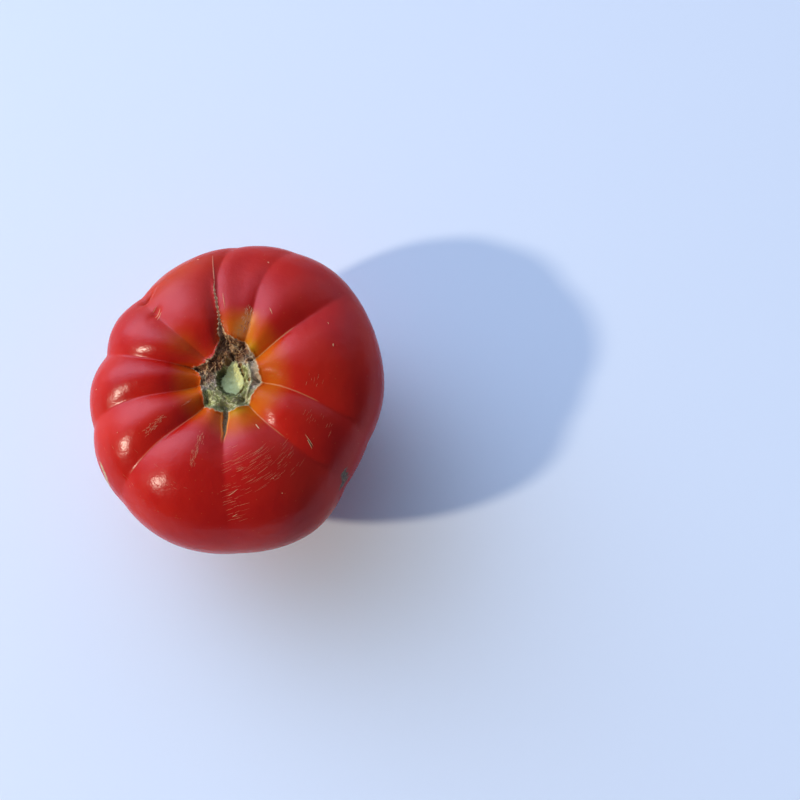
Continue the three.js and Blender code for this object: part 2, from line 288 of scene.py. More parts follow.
def meridian(phi):
    """The meridian without the hollow: its share of the way to the girth, and its height."""
    s = np.clip(np.sin(np.radians(phi)), 0, 1)
    c = np.abs(np.cos(np.radians(phi)))
    upper = phi <= 90
    share = np.where(upper, s ** (2 / CROWN_POWER), s ** (2 / FOOT_POWER))
    z = np.where(upper, GIRTH_HEIGHT + CROWN_RISE * c ** (2 / CROWN_POWER),
                 GIRTH_HEIGHT - (GIRTH_HEIGHT + FOOT_OVERRUN) * c ** (2 / FOOT_POWER))
    return share, z


def angle_in_scar(theta, share):
    """The meridian angle that lies a share of the way from the axis to the scar's edge."""
    return np.degrees(np.arcsin((share * scar_edge(theta) / girth(theta)) ** (CROWN_POWER / 2)))


def furrow_relief(phi, theta):
    """How far the furrows and the slow swell move the skin along the meridian's normal."""
    relief = np.zeros_like(phi)
    for furrow in FURROWS + FOLDS:
        off = np.abs(turn(theta - furrow_azimuth(furrow, phi)))
        sharp = np.exp((1 - np.hypot(off, 1)) / (CREASE * furrow["width"]))
        wide = bell(off, WIDE_DIP * furrow["width"])
        relief -= furrow_depth(furrow, phi) * (furrow["sharp"] * sharp + (1 - furrow["sharp"]) * wide)
    swell = np.sin(np.radians(3 * theta + 2 * phi)) + np.sin(np.radians(7 * theta - 3 * phi))
    to_edge = meridian(phi)[0] * girth(theta) / scar_edge(theta)
    level = SCAR_LEVEL + (1 - SCAR_LEVEL) * rise(*LEVEL_RIM, to_edge)
    return relief * level + SWELL * swell / 2 * np.sin(np.radians(phi)) ** 2


def core_share(x, y):
    """How far out from the core's middle, in its radius there, and the cosine of the way from +X."""
    x, y = x - CORE_AT[0], y - CORE_AT[1]
    away = np.hypot(x, y)
    tail = TAIL_LENGTH * bell(turn(np.degrees(np.arctan2(y, x)) - TAIL_AZIMUTH), TAIL_WIDTH)
    return away / (CORE_RADIUS + tail), x / np.maximum(away, 0.01)


def near_line(x, y, line):
    """Distance to a line of straight pieces."""
    away = np.full(x.shape, 99.0)
    for (ax, ay), (bx, by) in zip(line, line[1:]):
        t = ((x - ax) * (bx - ax) + (y - ay) * (by - ay)) / ((bx - ax) ** 2 + (by - ay) ** 2)
        t = np.clip(t, 0, 1)
        away = np.minimum(away, np.hypot(x - ax - t * (bx - ax), y - ay - t * (by - ay)))
    return away


def crumble(x, y, size, seed):
    """Crusty relief from 0 to 1: thin wandering crests with hollows between them."""
    warp_x = x + 0.45 * size * grain(x, y, 1.2 * size, seed)
    warp_y = y + 0.45 * size * grain(y, x, 1.2 * size, seed + 1)
    return (1 - np.abs(grain(warp_x, warp_y, size, seed + 2))) ** 3


def stem_scar(radius, theta):
    """Height of the scar's cork over the hollow, and its masks."""
    x = radius * np.cos(np.radians(theta))
    y = radius * np.sin(np.radians(theta))
    edge = scar_edge(theta) + 0.30 * grain(x, y, 1.1, 3) + 0.18 * grain(x, y, 0.45, 4)
    share = radius / edge
    from_core, sunward = core_share(x, y)
    from_core = from_core + 0.11 * grain(x, y, 1.6, 5) + 0.07 * grain(x, y, 0.6, 6)
    brown = rise(*BROWN_FADE, BROWN_WAY[0] * x + BROWN_WAY[1] * y + 1.6 * grain(x, y, 2.5, 7))
    cork = 1 - rise(0.97, 1.02, share)
    core = 1 - rise(0.90, 1.02, from_core)
    rim = CUP_RIM + CUP_SKEW * sunward
    wall = cork * (1 - core) * (1 - rise(rim + WALL_FADE[0], rim + WALL_FADE[1], from_core))
    floor = cork * (1 - core)

    # Loose crumbs on the brown side; on the grey side the crests run slantwise.
    along, across = 0.82 * x - 0.57 * y, 0.57 * x + 0.82 * y
    loose = 0.50 * crumble(x, y, 1.3, 10) + 0.50 * crumble(x, y, 0.65, 20)
    slanted = 0.55 * crumble(along / 2.2, across, 0.9, 24) + 0.45 * crumble(x, y, 0.6, 28)
    crest = brown * loose + (1 - brown) * slanted
    crest = 0.8 * crest + 0.2 * crumble(x, y, 0.4, 32)
    band = rise(*SMOOTH_BAND[0], x) * rise(*SMOOTH_BAND[1], y) * floor
    rough = (0.75 + 0.75 * brown - 0.35 * wall) * (1 - 0.65 * band) * (1 - 0.5 * rise(-3.5, -6.5, y))

    knob = np.hypot(x - KNOB_AT[0], 1.4 * (y - KNOB_AT[1]) - 0.5 * (x - KNOB_AT[0]))
    knob_ring = bell(knob - KNOB_RADIUS, 0.42)
    hollows = np.zeros_like(x)
    rings = np.zeros_like(x)
    for at_x, at_y, size in BROWN_HOLLOWS:
        away = np.hypot(x - at_x, y - at_y) / size
        hollows = np.maximum(hollows, 1 - rise(0.6, 1.0, away))
        rings = np.maximum(rings, bell(away - 1.15, 0.18))
    from_plate = np.hypot(x - PLATE_AT[0], y - PLATE_AT[1]) / PLATE_RADIUS + 0.2 * grain(x, y, 1.0, 36)
    plate = 1 - rise(0.8, 1.1, from_plate)
    crevice = bell(near_line(x, y, CREVICE) + 0.2 * grain(x, y, 0.8, 37), CREVICE_HALF_WIDTH)
    gold = bell(near_line(x, y, GOLD_CRACK) + 0.25 * grain(x, y, 0.7, 38), GOLD_HALF_WIDTH)
    inner = bell(near_line(x, y, INNER_RIDGE) + 0.2 * grain(x, y, 0.9, 39), INNER_HALF_WIDTH)
    wedge = bell(near_line(x, y, TAN_WEDGE) + 0.4 * grain(x, y, 0.9, 47), TAN_HALF_WIDTH)

    lip = bell(radius - edge, LIP_HALF_WIDTH)
    dry_lip = bell(radius - edge - 0.02, DRY_LIP_HALF_WIDTH) * (0.75 + 0.4 * grain(x, y, 0.7, 14))
    fibre = 0.14 * grain(x, y, 1.4, 15) + 0.08 * grain(x, y, 0.35, 16)
    cup = CUP_DEPTH * (1 - CUP_TILT * rise(*CUP_SLOPE, y)) * (1 - rise(1.0, rim, from_core))
    height = (FLOOR_SINK * (rise(*FLOOR_RIM, share) - 1)
              + LIP_HEIGHT * lip * (0.75 + 0.5 * grain(x, y, 0.8, 17))
              - cup + fibre * core
              + floor * (rough * (crest - 0.45) + 0.45 * plate + 0.3 * rings - 0.5 * hollows - 0.9 * crevice
                         - 0.7 * gold + 0.5 * inner)
              + 0.6 * knob_ring - 0.35 * (1 - rise(0.5, 1.0, knob)))

    # Masks: where each finish of the cork shows. The pit mask is painted shade: in the gaps between crests,
    # in the crevice, on the cup's shaded left wall and in the knob's pit.
    shaded_left_wall = floor * bell(from_core - 1.12, 0.16) * rise(0.3, -0.5, sunward) * (1 - rise(0.0, 2.5, y))
    shaded_gaps = rise(0.40, 0.10, crest) * (0.45 + 0.25 * brown) * (1 - 0.8 * wedge)
    mossy_wall = wall * (1 - rise(1.0, 4.0, y + 0.8 * grain(x, y, 1.2, 45)))
    moss = 0.5 * rise(0.05, 0.5, grain(x, y, 1.3, 40)) + 0.8 * rise(-4.5, -7.0, y)
    mossy_floor = floor * (1 - brown) * moss
    # Painted light on the core: to_sun runs towards its sunlit side, which the warm mask tints yellower; the
    # other side gets a painted shade tint
    to_sun = 0.75 * (x - CORE_AT[0]) + 0.65 * (y - CORE_AT[1])
    crests = floor * (1.5 * rise(0.35, 0.85, crest) + 0.7 * rings + 0.45 * wedge)
    masks = {
        "cork": cork,
        "core": core,
        "brown": np.clip(brown + knob_ring, 0, 1),
        "green": np.clip(mossy_wall + mossy_floor, 0, 1),
        # warm: the core's painted sunlit side
        "warm": rise(-2.2, 2.6, to_sun + 0.6 * grain(x, y, 1.2, 46)),
        "lip": dry_lip,
        # pit: painted shade
        "pit": np.clip(floor * (shaded_gaps + 0.7 * crevice + shaded_left_wall) + 0.45 * (1 - rise(0.4, 1.0, knob)), 0, 1),
        "gold": np.clip(floor * (gold + 0.8 * hollows + 0.5 * plate * brown), 0, 1),
        "ridge": np.clip(crests + knob_ring * 0.8, 0, 1),
        "inner": np.clip(floor * inner, 0, 1),
        "band": band,
    }
    return height, masks


def seam_and_slit(phi, theta, radius):
    """The corky seam in one furrow and the open slit in another: relief along the normal, and masks."""
    across = np.radians(turn(theta - furrow_azimuth(SEAM_LINE, phi))) * radius
    across = across + 0.12 * grain(radius, across * 0, 2.0, 29)
    beat = np.abs(np.cos(np.pi * radius / STITCH + 0.9 * grain(radius, across * 0, 3.0, 30)))
    ragged = 0.25 * grain(radius, across, 0.6, 31)
    fine = 1 - rise(SEAM_TO - SEAM_THIN, SEAM_TO, phi)
    half = (SEAM_HALF_WIDTH + ROOT_HALF_WIDTH * (1 - rise(*SEAM_ROOT, radius))) * (0.5 + 0.5 * fine)
    half = half + BEAD_HALF_WIDTH * beat ** 4 * fine
    along = rise(SEAM_FROM, SEAM_FROM + 5, phi) * (1 - rise(SEAM_TO - SEAM_FADE, SEAM_TO, phi))
    body = (1 - rise(0.75, 1.15, np.abs(across) / half + ragged)) * along
    crumbs = CRUMB_HEIGHT * beat + CRUMB_HEIGHT * grain(radius, across, 0.45, 32)
    seam_relief = SEAM_HEIGHT * along * bell(across, SEAM_SWELL) + body * crumbs

    off = np.radians(turn(theta - furrow_azimuth(SLIT_FURROW, phi))) * radius
    off = off + 0.2 * grain(radius, off * 0, 3.0, 33)
    reach = rise(SLIT_FROM - 1.5, SLIT_FROM, radius) * (1 - rise(SLIT_TO - 4, SLIT_TO, radius))
    width = SLIT_HALF_WIDTH * (SLIT_END + (1 - SLIT_END) * (1 - rise(SLIT_TO - SLIT_TAPER, SLIT_TO, radius)))
    slit = (1 - rise(0.7, 1.2, np.abs(off) / width + 0.15 * grain(radius, off, 0.5, 34))) * reach
    bank = bell(np.abs(off) - width * BANK_AT, BANK_HALF_WIDTH) * reach
    slit_relief = BANK_HEIGHT * bank - SLIT_DEPTH * slit

    masks = {
        "seam": body,
        "stitch": np.clip(body * rise(0.35, 0.75, np.abs(across) / half)
                          * (0.8 * beat ** 3 + 0.9 * rise(-0.1, 0.4, grain(radius, across, 0.5, 35))), 0, 1),
        "slit": slit,
        "bank": bank,
    }
    return np.where(phi < 90, seam_relief + slit_relief, 0), masks


def hairline(phi, theta):
    """The corky line along the bottom of some furrows, from the tips of the star outwards. The long one in
    the seventh furrow is partly a painted highlight.
    """
    line = np.zeros_like(phi)
    for furrow, (start, end, strength) in zip(FURROWS, FURROW_LINES):
        off = np.radians(turn(theta - furrow_azimuth(furrow, phi))) * girth(theta) * meridian(phi)[0]
        along = rise(start - 2, start + 2, phi) * (1 - rise(end - 8, end, phi))
        line = np.maximum(line, strength * along * bell(off, FURROW_LINE_HALF_WIDTH))
    return line


def away_from(phi, theta, place):
    """Distance in mm along the skin from a place on it, good near that place."""
    per_azimuth = math.radians(1) * float(girth(np.array(place[1])) * meridian(np.array(place[0]))[0])
    return np.hypot((phi - place[0]) * PER_PHI, turn(theta - place[1]) * per_azimuth)


def blemishes(phi, theta):
    """The dent with a pit and the shallow groove on one shoulder: relief along the normal."""
    dent = away_from(phi, theta, (DENT["phi"], DENT["azimuth"]))
    groove = away_from(phi, theta, (GROOVE["phi"], GROOVE["azimuth"]))
    return (-DENT["depth"] * bell(dent, DENT["radius"]) - DENT["pit_depth"] * bell(dent, DENT["pit"])
            - GROOVE["depth"] * bell(groove, GROOVE["radius"]))


def blemish_masks(phi, theta):
    """The pit in the dent, the yellow corky scar and the dark one, both at the girth."""
    pit = bell(away_from(phi, theta, (DENT["phi"], DENT["azimuth"])), DENT["pit"])
    scuffs = []
    for line in EDGE_SCARS:
        per_azimuth = math.radians(1) * float(girth(np.array(line[0][1])))
        x, y = turn(theta - line[0][1]) * per_azimuth, (phi - line[0][0]) * PER_PHI
        points = [((az - line[0][1]) * per_azimuth, (ph - line[0][0]) * PER_PHI) for ph, az in line]
        ragged = 0.9 * grain(x, y, 2.4, 43) + 0.5 * grain(x, y, 1.1, 44)
        scuffs.append(1 - rise(1.0, 2.5, near_line(x, y, points) + ragged))
    return pit, scuffs[0], scuffs[1]


def border_tints(phi, theta, radius):
    """Masks of the skin's tints round the scar: amber, golden, straw-coloured, and the barky streak."""
    past = radius - scar_edge(theta)
    near = (phi < CROWN).astype(float)
    strength = through(theta % 360, *AMBER)
    starts, ends = (at_none + at_full * strength for at_none, at_full in AMBER_FADE)
    amber = strength * (1 - rise(starts, ends, past))
    for flush, way, down in ((SHOULDER_FLUSH, "phi", phi), (TOE_FLUSH, "past", past)):
        beside = bell(turn(theta - flush["azimuth"]), flush["half_azimuth"])
        amber = amber + flush["share"] * beside * bell(down - flush[way], flush["half_" + way])
    gilt = sum(bell(turn(theta - azimuth), half) for azimuth, half in GILT)
    masks = {
        "amber": np.clip(amber, 0, 1) * (phi < 90),
        "gilt": near * np.clip(gilt, 0, 1) * (1 - rise(*GILT_FADE, past)),
    }
    off = np.radians(turn(theta - BORDER_AZIMUTH)) * radius + 0.5 * grain(radius, theta * 0, 4.0, 42)
    for name, band in BORDER_BANDS.items():
        along = rise(*band["starts"], past) * (1 - rise(*band["ends"], past))
        masks[name] = near * along * bell(off - band["beside"], band["half_width"])
    return masks


def skin(phi, theta):
    """Points of the skin in millimetres, and masks for its finish."""
    reach = girth(theta)
    share, z = meridian(phi)
    radius = reach * share
    back_share, back_z = meridian(np.maximum(phi - SLOPE_STEP, 0))
    ahead_share, ahead_z = meridian(np.minimum(phi + SLOPE_STEP, 180))
    normal_r, normal_z = back_z - ahead_z, (ahead_share - back_share) * reach
    length = np.hypot(normal_r, normal_z)
    extra, masks = seam_and_slit(phi, theta, radius)
    relief = furrow_relief(phi, theta) + extra + blemishes(phi, theta)
    scar_height, scar_masks = stem_scar(radius, theta)
    on_crown = (phi < CROWN).astype(float)
    cos, sin = np.cos(np.radians(theta)), np.sin(np.radians(theta))
    out = radius + relief * normal_r / length
    spread = HOLLOW_SPREAD * (1 + HOLLOW_SKEW[0] * cos + HOLLOW_SKEW[1] * sin)
    hollow = HOLLOW_DEPTH / (1 + (share / spread) ** HOLLOW_POWER)
    tilt = (CROWN_TILT[0] * cos + CROWN_TILT[1] * sin) * out * np.cos(np.radians(phi))
    sunk = np.where(phi < 90, scar_height * on_crown - hollow + tilt, 0)
    dimple = np.where(phi > UNDERSIDE, BLOSSOM_DEPTH * (1 - rise(0, BLOSSOM_RADIUS, out)), 0)
    height = np.maximum(z + sunk + relief * normal_z / length, 0) + dimple
    lean = 1 - rise(90, 180, phi)
    shift = np.where(phi < 90, 1 / (1 + (share / SHIFT_SPREAD) ** 4), 0)
    x = out * cos + STEM_AXIS[0] * lean + SCAR_SHIFT[0] * shift
    y = out * sin + STEM_AXIS[1] * lean + SCAR_SHIFT[1] * shift
    masks.update({name: values * on_crown for name, values in scar_masks.items()})
    masks["hairline"] = hairline(phi, theta)
    masks.update(border_tints(phi, theta, radius))
    masks["dent_pit"], masks["scuff"], masks["scuff_dark"] = blemish_masks(phi, theta)
    return np.stack([x, y, height], -1), masks


def skin_grid():
    """Meridian angles and azimuths of the mesh's points, as rows by columns, without the two poles."""
    even = np.arange(COLUMNS) / COLUMNS
    across = even - CROWDING * np.sin(2 * np.pi * even)
    starts = np.array([f["azimuth"][0] for f in FURROWS] + [FURROWS[0]["azimuth"][0] + 360], float)
    at_scar = (starts[:-1, None] + np.diff(starts)[:, None] * across).ravel()
    rows = [angle_in_scar(at_scar, (k + 1) / SCAR_ROWS) for k in range(SCAR_ROWS)]
    for end, count in BELTS:
        start = rows[-1]
        rows += [start + (end - start) * (k + 1) / count for k in range(count)]
    phi = np.array(rows[:-1])
    theta = np.empty_like(phi)
    for i, furrow in enumerate(FURROWS):
        own = slice(i * COLUMNS, (i + 1) * COLUMNS)
        last = i == len(FURROWS) - 1
        a = furrow_azimuth(furrow, phi[:, own])
        b = furrow_azimuth(FURROWS[0] if last else FURROWS[i + 1], phi[:, own]) + (360 if last else 0)
        theta[:, own] = a + (b - a) * across
    return phi, theta


# ---- shader nodes ----------------------------------------------------------------------------------------

def new_material(name):
    material = bpy.data.materials.new(name)
    material.use_nodes = True
    material.node_tree.nodes.clear()
    return material, material.node_tree


def socket_of(tree, value, socket):
    """Links a socket, or sets the plain value."""
    if isinstance(value, bpy.types.NodeSocket):
        tree.links.new(value, socket)
    else:
        socket.default_value = value


def add(tree, kind, inputs=None, **settings):
    node = tree.nodes.new(kind)
    for name, value in settings.items():
        setattr(node, name, value)
    for name, value in (inputs or {}).items():
        socket_of(tree, value, node.inputs[name])
    return node


def mask(tree, name):
    """A mask that the mesh carries."""
    return add(tree, "ShaderNodeAttribute", attribute_name=name, attribute_type="GEOMETRY").outputs["Fac"]


def math_node(tree, operation, a, b=0.0, clamp=False):
    node = add(tree, "ShaderNodeMath", operation=operation, use_clamp=clamp)
    socket_of(tree, a, node.inputs[0])
    socket_of(tree, b, node.inputs[1])
    return node.outputs[0]


def spread(tree, value, low, high, to_low=0.0, to_high=1.0):
    """Maps low..high to to_low..to_high, clamped."""
    node = add(tree, "ShaderNodeMapRange", {
        "Value": value, "From Min": low, "From Max": high, "To Min": to_low, "To Max": to_high})
    return node.outputs["Result"]


def blend(tree, share, a, b):
    """Colour a where share is 0 and b where it is 1."""
    node = add(tree, "ShaderNodeMix", data_type="RGBA")
    socket_of(tree, share, node.inputs[0])
    for value, socket in ((a, node.inputs[6]), (b, node.inputs[7])):
        socket_of(tree, value, socket)
    return node.outputs[2]


def rgb(red, green, blue):
    return (red, green, blue, 1.0)


def grain_group():
    """Fine grain: a soft noise in millimetres. Size in, Value (0 to 1) out."""
    group = bpy.data.node_groups.new("fine grain", "ShaderNodeTree")
    size = group.interface.new_socket(name="Size", in_out="INPUT", socket_type="NodeSocketFloat")
    size.default_value = 1.0
    detail = group.interface.new_socket(name="Detail", in_out="INPUT", socket_type="NodeSocketFloat")
    detail.default_value = 2.0
    group.interface.new_socket(name="Value", in_out="OUTPUT", socket_type="NodeSocketFloat")
    given = group.nodes.new("NodeGroupInput")
    result = group.nodes.new("NodeGroupOutput")
    place = add(group, "ShaderNodeTexCoord").outputs["Object"]
    scale = math_node(group, "DIVIDE", 1 / MM, given.outputs["Size"])
    noise = add(group, "ShaderNodeTexNoise", {
        "Vector": place, "Scale": scale, "Detail": given.outputs["Detail"], "Roughness": 0.55})
    group.links.new(noise.outputs["Fac"], result.inputs["Value"])
    return group


def speck_group():
    """Specks: round dots in millimetres. Size is from dot to dot, Share is how many of them show."""
    group = bpy.data.node_groups.new("specks", "ShaderNodeTree")
    for name, value in (("Size", 2.0), ("Radius", 0.2), ("Share", 0.5)):
        socket = group.interface.new_socket(name=name, in_out="INPUT", socket_type="NodeSocketFloat")
        socket.default_value = value
    group.interface.new_socket(name="Mask", in_out="OUTPUT", socket_type="NodeSocketFloat")
    given = group.nodes.new("NodeGroupInput")
    result = group.nodes.new("NodeGroupOutput")
    place = add(group, "ShaderNodeTexCoord").outputs["Object"]
    scale = math_node(group, "DIVIDE", 1 / MM, given.outputs["Size"])
    cells = add(group, "ShaderNodeTexVoronoi", {"Vector": place, "Scale": scale}, feature="F1")
    reach = math_node(group, "DIVIDE", given.outputs["Radius"], given.outputs["Size"])
    near = math_node(group, "DIVIDE", cells.outputs["Distance"], reach)
    dot = spread(group, near, 0.6, 1.2, 1.0, 0.0)
    pick = add(group, "ShaderNodeSeparateColor", {"Color": cells.outputs["Color"]}).outputs[0]
    shown = math_node(group, "LESS_THAN", pick, given.outputs["Share"])
    group.links.new(math_node(group, "MULTIPLY", dot, shown), result.inputs["Mask"])
    return group


FINE_GRAIN = grain_group()
SPECKS = speck_group()


def fine_grain(tree, size, detail=2.0):
    node = add(tree, "ShaderNodeGroup", node_tree=FINE_GRAIN)
    node.inputs["Size"].default_value = size
    node.inputs["Detail"].default_value = detail
    return node.outputs["Value"]


def specks(tree, size, radius, share):
    node = add(tree, "ShaderNodeGroup", node_tree=SPECKS)
    node.inputs["Size"].default_value = size
    node.inputs["Radius"].default_value = radius
    node.inputs["Share"].default_value = share
    return node.outputs["Mask"]


def bump(tree, height, distance, strength=1.0, normal=None):
    inputs = {"Height": height, "Distance": distance * MM, "Strength": strength}
    if normal is not None:
        inputs["Normal"] = normal
    return add(tree, "ShaderNodeBump", inputs).outputs["Normal"]


# ---- materials -------------------------------------------------------------------------------------------

RIM_GLOSS = (0.28, 0.07)     # specular level of the skin: seen straight on, and at the rim
DRY_GLOSS = 0.28             # what is left of it round the scar
PEBBLE_SIZE, PEBBLE_HEIGHT = 0.72, 0.055     # the skin's fine pebbling, in mm
WAVE_SIZE, WAVE_HEIGHT = 4.5, 0.18           # and its slow waves


def ripe_skin():
    """Waxy red skin: amber round the scar, fine pale specks, and a slightly pebbled gloss."""
    material, tree = new_material("ripe skin")
    deep = rgb(0.46, 0.007, 0.004)
    bright = rgb(0.54, 0.015, 0.005)
    amber = rgb(0.56, 0.125, 0.006)
    gilt = rgb(0.52, 0.21, 0.006)
    straw = rgb(0.76, 0.26, 0.05)
    bark = rgb(0.50, 0.21, 0.085)
    cream = rgb(0.60, 0.40, 0.19)
    speck = rgb(0.60, 0.16, 0.05)
    furrow_line = rgb(0.60, 0.27, 0.09)
    pit_shade = rgb(0.05, 0.010, 0.008)
    ochre, pale_ochre = rgb(0.36, 0.22, 0.06), rgb(0.60, 0.55, 0.26)
    soot, grey_moss = rgb(0.035, 0.032, 0.018), rgb(0.22, 0.24, 0.15)

    clouds = spread(tree, fine_grain(tree, 26.0), 0.38, 0.62)
    colour = blend(tree, clouds, deep, bright)
    mottle = spread(tree, fine_grain(tree, 3.0, 3.0), 0.35, 0.7, 0.0, 0.25)
    colour = blend(tree, mottle, colour, bright)
    patch = spread(tree, fine_grain(tree, 7.0), 0.3, 0.7, 0.6, 1.0)
    near_scar = math_node(tree, "MULTIPLY", mask(tree, "amber"), patch, clamp=True)
    colour = blend(tree, near_scar, colour, amber)
    colour = blend(tree, mask(tree, "gilt"), colour, gilt)
    colour = blend(tree, mask(tree, "straw"), colour, straw)
    broken = spread(tree, fine_grain(tree, 0.8, 3.0), 0.45, 0.6, 0.0, 0.5)
    bits = math_node(tree, "MULTIPLY", mask(tree, "streak"), broken)
    colour = blend(tree, bits, colour, bark)
    dots = math_node(tree, "MULTIPLY", specks(tree, 1.7, 0.17, 0.35), 0.35)
    colour = blend(tree, dots, colour, speck)
    # Furrow lines: golden cork, and in the seventh furrow's outer part a painted highlight on the crease's
    # edge
    lines = spread(tree, mask(tree, "hairline"), 0.2, 0.9, 0.0, 0.8)
    colour = blend(tree, lines, colour, furrow_line)
    dry = spread(tree, mask(tree, "lip"), 0.35, 0.85, 0.0, 0.6)
    colour = blend(tree, dry, colour, cream)
    colour = blend(tree, mask(tree, "bank"), colour, straw)
    colour = blend(tree, spread(tree, mask(tree, "dent_pit"), 0.15, 0.6, 0.0, 0.9), colour, pit_shade)
    crust = fine_grain(tree, 0.8, 3.0)
    yellow_crust = blend(tree, spread(tree, crust, 0.35, 0.65), ochre, pale_ochre)
    colour = blend(tree, spread(tree, mask(tree, "scuff"), 0.2, 0.9, 0.0, 0.85), colour, yellow_crust)
    dark_crust = blend(tree, spread(tree, crust, 0.4, 0.7), soot, grey_moss)
    colour = blend(tree, spread(tree, mask(tree, "scuff_dark"), 0.2, 0.9, 0.0, 0.9), colour, dark_crust)

    normal = bump(tree, fine_grain(tree, PEBBLE_SIZE, 2.0), PEBBLE_HEIGHT)
    normal = bump(tree, fine_grain(tree, WAVE_SIZE, 1.0), WAVE_HEIGHT, normal=normal)
    rough = spread(tree, fine_grain(tree, 5.0), 0.3, 0.7, 0.20, 0.27)
    facing = add(tree, "ShaderNodeLayerWeight", {"Blend": 0.5}).outputs["Facing"]
    gloss = math_node(tree, "MULTIPLY", spread(tree, facing, 0.2, 0.65, *RIM_GLOSS),
                      spread(tree, mask(tree, "amber"), 0.1, 0.8, 1.0, DRY_GLOSS))
    shader = add(tree, "ShaderNodeBsdfPrincipled", {
        "Base Color": colour, "Roughness": rough, "Normal": normal, "IOR": 1.45,
        "Specular IOR Level": gloss,
        "Subsurface Weight": 0.2, "Subsurface Radius": (1.0, 0.2, 0.1), "Subsurface Scale": 3.0 * MM})
    tree.links.new(shader.outputs[0], add(tree, "ShaderNodeOutputMaterial").inputs["Surface"])
    return material


def stem_cork():
    """Matt cork of the scar, brown one way and grey-green the other, with the core, the seam and the slit."""
    material, tree = new_material("stem cork")
    dark_brown = rgb(0.075, 0.034, 0.018)
    brown, red_brown = rgb(0.26, 0.098, 0.033), rgb(0.21, 0.080, 0.034)
    tan = rgb(0.52, 0.30, 0.125)
    dark_green = rgb(0.035, 0.045, 0.018)
    grey_brown = rgb(0.24, 0.175, 0.115)
    grey_lilac = rgb(0.39, 0.29, 0.215)
    pale_grey = rgb(0.52, 0.41, 0.29)
    moss = rgb(0.23, 0.225, 0.06)
    pale_green = rgb(0.56, 0.55, 0.22)
    cream = rgb(0.62, 0.49, 0.30)
    smooth_tan, smooth_cream = rgb(0.42, 0.29, 0.17), rgb(0.60, 0.44, 0.27)
    straw_green = rgb(0.58, 0.52, 0.26)
    gold = rgb(0.30, 0.14, 0.035)
    seam_brown, seam_tan, bead = rgb(0.22, 0.080, 0.040), rgb(0.42, 0.19, 0.09), rgb(0.95, 0.60, 0.29)
    slit_brown, slit_tan = rgb(0.105, 0.066, 0.030), rgb(0.34, 0.21, 0.10)
    # The core's two tints are painted light: yellow-green where the sun falls, grey-green in the rim's shadow
    core_shaded, core_sunlit, core_fleck = rgb(0.74, 0.77, 0.34), rgb(0.92, 0.84, 0.30), rgb(0.86, 0.90, 0.50)

    crumb = fine_grain(tree, 0.5, 3.0)
    ridge = mask(tree, "ridge")
    high = spread(tree, math_node(tree, "ADD", ridge, math_node(tree, "MULTIPLY", crumb, 0.6)), 0.45, 1.15)
    brown_cork = blend(tree, spread(tree, fine_grain(tree, 1.6), 0.35, 0.65), brown, red_brown)
    brown_cork = blend(tree, high, brown_cork, tan)
    lilac = blend(tree, spread(tree, fine_grain(tree, 0.9), 0.45, 0.65), grey_brown, grey_lilac)
    grey_cork = blend(tree, high, lilac, pale_grey)
    colour = blend(tree, mask(tree, "brown"), grey_cork, brown_cork)
    green_cork = blend(tree, high, moss, pale_green)
    patchy = spread(tree, fine_grain(tree, 1.1), 0.3, 0.5, 0.35, 1.0)
    colour = blend(tree, math_node(tree, "MULTIPLY", mask(tree, "green"), patchy), colour, green_cork)
    colour = blend(tree, mask(tree, "band"), colour, blend(tree, high, smooth_tan, smooth_cream))
    colour = blend(tree, mask(tree, "inner"), colour, straw_green)
    colour = blend(tree, spread(tree, mask(tree, "gold"), 0.2, 0.8, 0.0, 0.85), colour, gold)
    # Painted shade: the pit mask darkens the gaps, the crevice, the cup's left wall and the knob's pit
    painted_shade_colour = blend(tree, mask(tree, "brown"), dark_green, dark_brown)
    pit = math_node(tree, "MULTIPLY", mask(tree, "pit"), spread(tree, crumb, 0.2, 0.6, 1.0, 0.75), clamp=True)
    colour = blend(tree, pit, colour, painted_shade_colour)
    colour = blend(tree, spread(tree, mask(tree, "lip"), 0.3, 0.8), colour, cream)

    crumbly = spread(tree, crumb, 0.35, 0.65)
    colour = blend(tree, mask(tree, "seam"), colour, blend(tree, crumbly, seam_brown, seam_tan))
    colour = blend(tree, mask(tree, "stitch"), colour, bead)
    colour = blend(tree, mask(tree, "slit"), colour, blend(tree, crumbly, slit_brown, slit_tan))

    # Painted sunlight and shade on the core, through the warm mask
    core = blend(tree, mask(tree, "warm"), core_shaded, core_sunlit)
    core = blend(tree, spread(tree, fine_grain(tree, 0.7), 0.45, 0.8, 0.0, 0.6), core, core_fleck)
    colour = blend(tree, mask(tree, "core"), colour, core)

    normal = bump(tree, fine_grain(tree, 0.35, 4.0), 0.16)
    shader = add(tree, "ShaderNodeBsdfPrincipled", {
        "Base Color": colour, "Roughness": spread(tree, crumb, 0.3, 0.7, 0.75, 0.92), "Normal": normal,
        "Specular IOR Level": 0.3})
    tree.links.new(shader.outputs[0], add(tree, "ShaderNodeOutputMaterial").inputs["Surface"])
    return material


